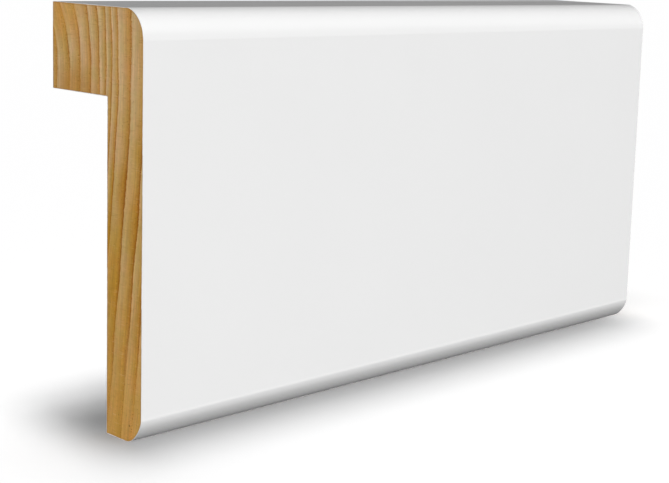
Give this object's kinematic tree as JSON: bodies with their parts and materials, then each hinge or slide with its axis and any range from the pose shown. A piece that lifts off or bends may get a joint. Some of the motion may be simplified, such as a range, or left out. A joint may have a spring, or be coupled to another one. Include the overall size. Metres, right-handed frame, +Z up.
{
  "type": "door casing",
  "caption": "Short length of L-shaped painted softwood door casing, with a rounded front, a thick lip along the top that meets the wall, and a rebate behind the leg.",
  "frame": {"origin": "on the wall plane, in the middle of the lip's back face, halfway along the moulding", "axes": "+X along the moulding, +Y from the front face towards the wall, +Z up from the foot to the lip"},
  "size_m": [0.1704, 0.0315, 0.089],
  "materials": {
    "painted_softwood": "satin white paint on the machined faces, bare pine on the two sawn ends"
  },
  "bodies": {
    "root": {"casing": "painted_softwood"}
  },
  "joints": []
}
